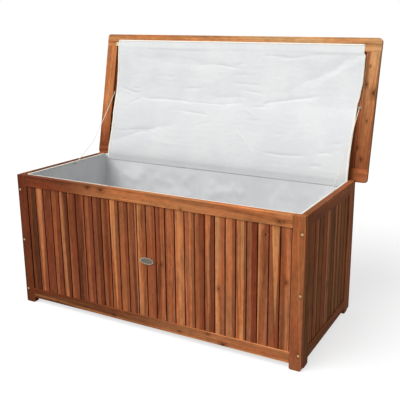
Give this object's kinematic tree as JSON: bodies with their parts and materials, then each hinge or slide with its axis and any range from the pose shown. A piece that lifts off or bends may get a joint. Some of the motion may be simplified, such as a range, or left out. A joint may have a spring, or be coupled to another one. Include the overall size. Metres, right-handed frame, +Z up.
{
  "type": "deck storage box",
  "caption": "Slatted hardwood deck storage box with a hinged slatted lid, fabric lining and stay cords, shown with the lid open.",
  "frame": {"origin": "on the ground under the middle of the whole box with its lid open", "axes": "+Z up, +X to the right as seen from the front, the front faces -Y"},
  "size_m": [1.334, 0.7073, 1.1052],
  "materials": {
    "frame_wood": "oiled hardwood, red brown, satin",
    "slat_wood": "oiled hardwood slats, strongly varied brown",
    "lid_wood": "oiled hardwood, lighter orange brown, satin",
    "floor_wood": "planed hardwood, unfinished",
    "lining_fabric": "white woven polyester, wrinkled",
    "cord_white": "white braided cord",
    "screw_metal": "yellow zinc plated",
    "hinge_metal": "zinc plated steel",
    "badge_metal": "dull pewter, raised rim"
  },
  "bodies": {
    "box": {"back_bottom_rail": "frame_wood", "back_left_post": "frame_wood", "back_right_post": "frame_wood", "back_slats_1": "slat_wood", "back_slats_2": "slat_wood", "back_top_rail": "frame_wood", "badge_plate": "badge_metal", "box_eye_left": "hinge_metal", "box_eye_right": "hinge_metal", "box_lining": "lining_fabric", "floor_bearer_centre": "floor_wood", "floor_bearer_left": "floor_wood", "floor_bearer_right": "floor_wood", "floor_board_1": "floor_wood", "floor_board_2": "floor_wood", "floor_board_3": "floor_wood", "floor_board_4": "floor_wood", "floor_board_5": "floor_wood", "front_bottom_rail": "frame_wood", "front_left_post": "frame_wood", "front_right_post": "frame_wood", "front_screw_left_low": "screw_metal", "front_screw_left_middle": "screw_metal", "front_screw_left_top": "screw_metal", "front_screw_right_low": "screw_metal", "front_screw_right_middle": "screw_metal", "front_screw_right_top": "screw_metal", "front_slats_1": "slat_wood", "front_slats_2": "slat_wood", "front_slats_3": "slat_wood", "front_slats_4": "slat_wood", "front_top_rail": "frame_wood", "hinge_left_box_leaf": "hinge_metal", "hinge_left_pin": "hinge_metal", "hinge_right_box_leaf": "hinge_metal", "hinge_right_pin": "hinge_metal", "left_back_stile": "frame_wood", "left_bottom_rail": "frame_wood", "left_front_stile": "frame_wood", "left_slats": "slat_wood", "left_top_rail": "frame_wood", "right_back_stile": "frame_wood", "right_bottom_rail": "frame_wood", "right_front_stile": "frame_wood", "right_slats": "slat_wood", "right_top_rail": "frame_wood", "stay_cord_left": "cord_white", "stay_cord_right": "cord_white"},
    "lid": {"hinge_left_lid_leaf": "hinge_metal", "hinge_right_lid_leaf": "hinge_metal", "lid_back_rail": "lid_wood", "lid_eye_left": "hinge_metal", "lid_eye_right": "hinge_metal", "lid_front_rail": "lid_wood", "lid_left_stile": "lid_wood", "lid_lining": "lining_fabric", "lid_right_stile": "lid_wood", "lid_slats_1": "slat_wood", "lid_slats_2": "slat_wood"}
  },
  "joints": [
    {"name": "lid_hinge", "type": "hinge", "parent": "box", "child": "lid", "pos_m": [0, 0.21146, 0.5523], "axis": [1, 0, 0], "range_deg": [0, 102], "deforming": ["lid_lining", "stay_cord_left", "stay_cord_right"]}
  ]
}
